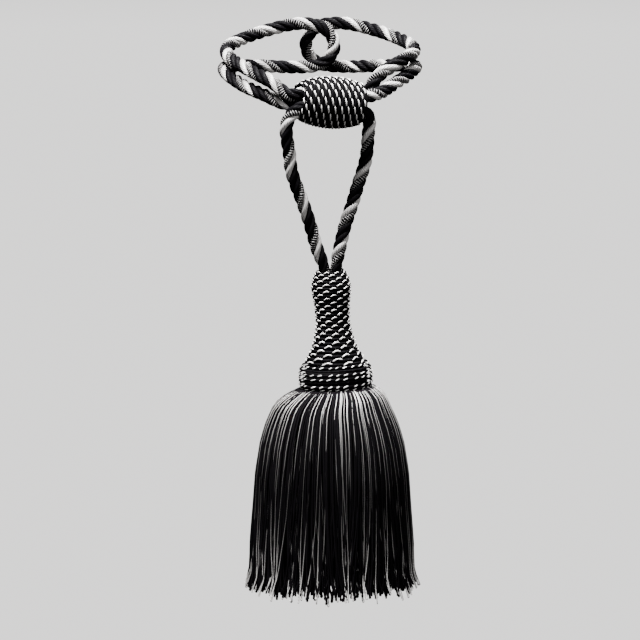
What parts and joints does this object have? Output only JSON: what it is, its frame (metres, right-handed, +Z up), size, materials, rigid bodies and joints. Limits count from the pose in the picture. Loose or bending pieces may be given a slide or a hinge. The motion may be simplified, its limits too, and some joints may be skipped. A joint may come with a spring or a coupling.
{
  "type": "curtain tieback tassel",
  "caption": "Rope curtain tieback: a doubled rope loop through a cord-wound barrel, and a fringed tassel with a wound head hanging from it on two rope legs.",
  "frame": {"origin": "on the axis of the wall hook's stem, at its top, where the rope loops at the back hang", "axes": "+Z up, along the tassel's length; -Y out from the wall towards the room and the barrel; +X to the right as seen from the room"},
  "size_m": [0.1264, 0.1482, 0.3466],
  "materials": {
    "rope": "satin rayon, one silver ply, one striped ply and two black plies",
    "winding": "satin rayon cord, one black and one silver yarn twisted together",
    "black_cord": "satin rayon",
    "fringe": "satin rayon yarns, black and silver"
  },
  "bodies": {
    "root": {"embrace_rope": "rope", "arch_rope": "rope", "barrel": "winding", "head": "winding", "collar_cord_1": "winding", "collar_cord_2": "black_cord", "collar_cord_3": "winding", "collar_cord_4": "winding", "collar_cord_5": "black_cord", "collar_cord_6": "winding", "skirt": "fringe"}
  },
  "joints": []
}
